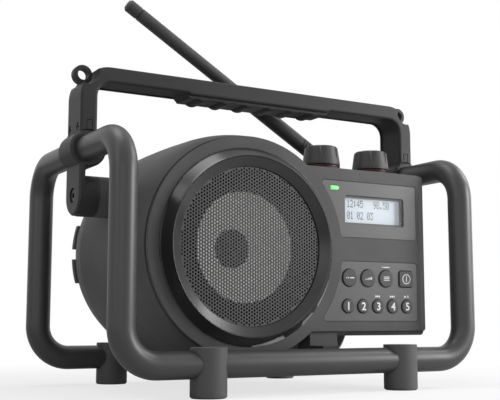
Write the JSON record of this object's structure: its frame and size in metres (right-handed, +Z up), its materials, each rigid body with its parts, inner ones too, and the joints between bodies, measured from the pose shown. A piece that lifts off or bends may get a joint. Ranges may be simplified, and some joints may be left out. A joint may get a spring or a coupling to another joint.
{
  "type": "jobsite radio",
  "caption": "Rugged portable radio: round loudspeaker barrel and square control section in a bent tube cage, with top carrying handle and whip antenna.",
  "frame": {"origin": "on the floor, under the middle of the tube cage", "axes": "+X to the radio's right as seen from the front, +Y towards its back, +Z up; the front faces -Y"},
  "size_m": [0.371, 0.2326, 0.3587],
  "materials": {
    "frame_tube": "satin black powder coat",
    "foot_rubber": "matte",
    "zinc_screw": "zinc plated",
    "structure_plastic": "satin charcoal plastic",
    "grip_rubber": "soft black",
    "black_screw": "blackened steel",
    "bush_plastic": "plain black plastic",
    "housing_plastic": "fine-grained charcoal plastic",
    "label_film": "grey printed film",
    "lens": "clear window",
    "lcd": "pale blue display",
    "lamp": "green lamp",
    "board": "green circuit board",
    "gloss_black": "gloss black",
    "grille_steel": "perforated sheet, black",
    "basket_steel": "pressed sheet",
    "magnet": "bare ferrite and plates",
    "suspension": "soft rubber",
    "cone_paper": "grey pulp cone",
    "dust_cap": "dark cloth",
    "coil": "copper winding",
    "shaft_steel": "bright steel",
    "red_plastic": "red ring",
    "key_plastic": "black key",
    "whip_plastic": "flexible whip cover",
    "cell": "plain cell wrap"
  },
  "bodies": {
    "root": {"batteries": "cell", "battery_contacts": "shaft_steel", "battery_tray": "bush_plastic", "clamp_left": "structure_plastic", "clamp_right": "structure_plastic", "cord_gland": "foot_rubber", "display_lens": "lens", "display_module": "lcd", "display_plate": "label_film", "door_pin": "shaft_steel", "encoders": "shaft_steel", "fascia": "housing_plastic", "foot_front_left": "foot_rubber", "foot_front_right": "foot_rubber", "foot_rear_left": "foot_rubber", "foot_rear_right": "foot_rubber", "foot_screws": "zinc_screw", "front_shell": "housing_plastic", "handle": "structure_plastic", "handle_grip": "grip_rubber", "handle_screws": "black_screw", "hanger_bolts": "black_screw", "hanger_bushes": "bush_plastic", "key_board": "board", "key_plate": "label_film", "knob_rings": "red_plastic", "main_board": "board", "rail_pads": "grip_rubber", "rear_shell": "housing_plastic", "shell_screws": "black_screw", "socket_plate": "bush_plastic", "speaker_basket": "basket_steel", "speaker_bezel": "gloss_black", "speaker_grille": "grille_steel", "speaker_magnet": "magnet", "speaker_screws": "black_screw", "speaker_suspension": "suspension", "status_lamp": "lamp", "tube_frame": "frame_tube"},
    "volume_knob": {"volume_knob": "structure_plastic", "volume_shaft": "shaft_steel"},
    "tuning_spindle": {"tuning_shaft": "shaft_steel"},
    "tuning_knob": {"tuning_knob": "structure_plastic"},
    "cone": {"speaker_cone": "cone_paper", "dust_cap": "dust_cap", "voice_coil": "coil"},
    "antenna_turret": {"antenna_base": "structure_plastic", "antenna_pin": "shaft_steel"},
    "antenna_whip": {"antenna_whip": "whip_plastic"},
    "battery_door": {"battery_door": "housing_plastic"},
    "door_latch": {"door_latch": "structure_plastic"},
    "source_key": {"source_button": "key_plastic"},
    "loudness_key": {"loudness_button": "key_plastic"},
    "info_key": {"info_button": "key_plastic"},
    "power_key": {"power_button": "key_plastic"},
    "preset_1_key": {"preset_1": "key_plastic"},
    "preset_2_key": {"preset_2": "key_plastic"},
    "preset_3_key": {"preset_3": "key_plastic"},
    "preset_4_key": {"preset_4": "key_plastic"},
    "preset_5_key": {"preset_5": "key_plastic"}
  },
  "joints": [
    {"name": "volume_turn", "type": "hinge", "parent": "root", "child": "volume_knob", "pos_m": [0.0534, -0.042, 0.205], "axis": [0, 0, 1], "continuous": true},
    {"name": "tuning_push", "type": "slide", "parent": "root", "child": "tuning_spindle", "axis": [0, 0, -1], "range_m": [0, 0.0008], "stiffness_N_per_m": 1500, "springref_m": -0.0004},
    {"name": "tuning_turn", "type": "hinge", "parent": "tuning_spindle", "child": "tuning_knob", "pos_m": [0.1108, -0.042, 0.205], "axis": [0, 0, 1], "continuous": true},
    {"name": "cone_travel", "type": "slide", "parent": "root", "child": "cone", "axis": [0, -1, 0], "range_m": [-0.0015, 0.0015], "stiffness_N_per_m": 1500},
    {"name": "antenna_swivel", "type": "hinge", "parent": "root", "child": "antenna_turret", "pos_m": [0.107, 0.03, 0.205], "axis": [0, 0, -1], "range_deg": [0, 180]},
    {"name": "antenna_tilt", "type": "hinge", "parent": "antenna_turret", "child": "antenna_whip", "pos_m": [0.107, 0.03, 0.221], "axis": [0, 1, 0], "range_deg": [-24, 59]},
    {"name": "battery_door_swing", "type": "hinge", "parent": "root", "child": "battery_door", "pos_m": [0.039, 0.092, 0.1222], "axis": [0, 0, -1], "range_deg": [0, 110]},
    {"name": "door_latch_slide", "type": "slide", "parent": "battery_door", "child": "door_latch", "axis": [1, 0, 0], "range_m": [0, 0.004]},
    {"name": "source_press", "type": "slide", "parent": "root", "child": "source_key", "axis": [0, 1, 0], "range_m": [0, 0.001], "stiffness_N_per_m": 800},
    {"name": "loudness_press", "type": "slide", "parent": "root", "child": "loudness_key", "axis": [0, 1, 0], "range_m": [0, 0.001], "stiffness_N_per_m": 800},
    {"name": "info_press", "type": "slide", "parent": "root", "child": "info_key", "axis": [0, 1, 0], "range_m": [0, 0.001], "stiffness_N_per_m": 800},
    {"name": "power_press", "type": "slide", "parent": "root", "child": "power_key", "axis": [0, 1, 0], "range_m": [0, 0.001], "stiffness_N_per_m": 800},
    {"name": "preset_1_press", "type": "slide", "parent": "root", "child": "preset_1_key", "axis": [0, 1, 0], "range_m": [0, 0.001], "stiffness_N_per_m": 800},
    {"name": "preset_2_press", "type": "slide", "parent": "root", "child": "preset_2_key", "axis": [0, 1, 0], "range_m": [0, 0.001], "stiffness_N_per_m": 800},
    {"name": "preset_3_press", "type": "slide", "parent": "root", "child": "preset_3_key", "axis": [0, 1, 0], "range_m": [0, 0.001], "stiffness_N_per_m": 800},
    {"name": "preset_4_press", "type": "slide", "parent": "root", "child": "preset_4_key", "axis": [0, 1, 0], "range_m": [0, 0.001], "stiffness_N_per_m": 800},
    {"name": "preset_5_press", "type": "slide", "parent": "root", "child": "preset_5_key", "axis": [0, 1, 0], "range_m": [0, 0.001], "stiffness_N_per_m": 800}
  ]
}
